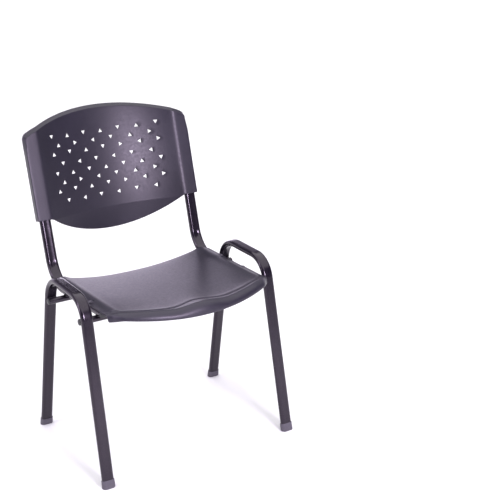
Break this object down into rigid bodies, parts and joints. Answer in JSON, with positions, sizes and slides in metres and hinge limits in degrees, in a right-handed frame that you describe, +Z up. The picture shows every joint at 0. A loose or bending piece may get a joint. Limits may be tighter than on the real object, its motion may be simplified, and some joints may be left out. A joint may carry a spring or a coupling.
{
  "type": "stacking chair",
  "caption": "Armless stacking chair with bent oval-tube legs, a moulded seat and a moulded back with triangular holes.",
  "frame": {"origin": "on the floor, under the middle of the chair", "axes": "-Y is the front of the chair, +Z is up, +X is the right-hand side as seen from the front"},
  "size_m": [0.5458, 0.5765, 0.8035],
  "materials": {
    "black_paint": "gloss",
    "shell_plastic": "satin",
    "foot_plastic": "matte",
    "cap_plastic": "satin",
    "zinc_steel": "satin"
  },
  "bodies": {
    "root": {"left_leg_loop": "black_paint", "right_leg_loop": "black_paint", "front_cross_tube": "black_paint", "rear_cross_tube": "black_paint", "front_left_tube_cap": "cap_plastic", "front_right_tube_cap": "cap_plastic", "rear_left_tube_cap": "cap_plastic", "rear_right_tube_cap": "cap_plastic", "left_back_upright": "black_paint", "right_back_upright": "black_paint", "front_cross_welds": "black_paint", "rear_cross_welds": "black_paint", "left_rail_plug": "cap_plastic", "right_rail_plug": "cap_plastic", "left_upright_plug": "cap_plastic", "right_upright_plug": "cap_plastic", "seat_shell": "shell_plastic", "seat_screws": "zinc_steel", "seat_washers": "zinc_steel", "back_shell": "shell_plastic", "back_screws": "zinc_steel", "front_left_foot": "foot_plastic", "front_right_foot": "foot_plastic", "rear_left_foot": "foot_plastic", "rear_right_foot": "foot_plastic"}
  },
  "joints": []
}
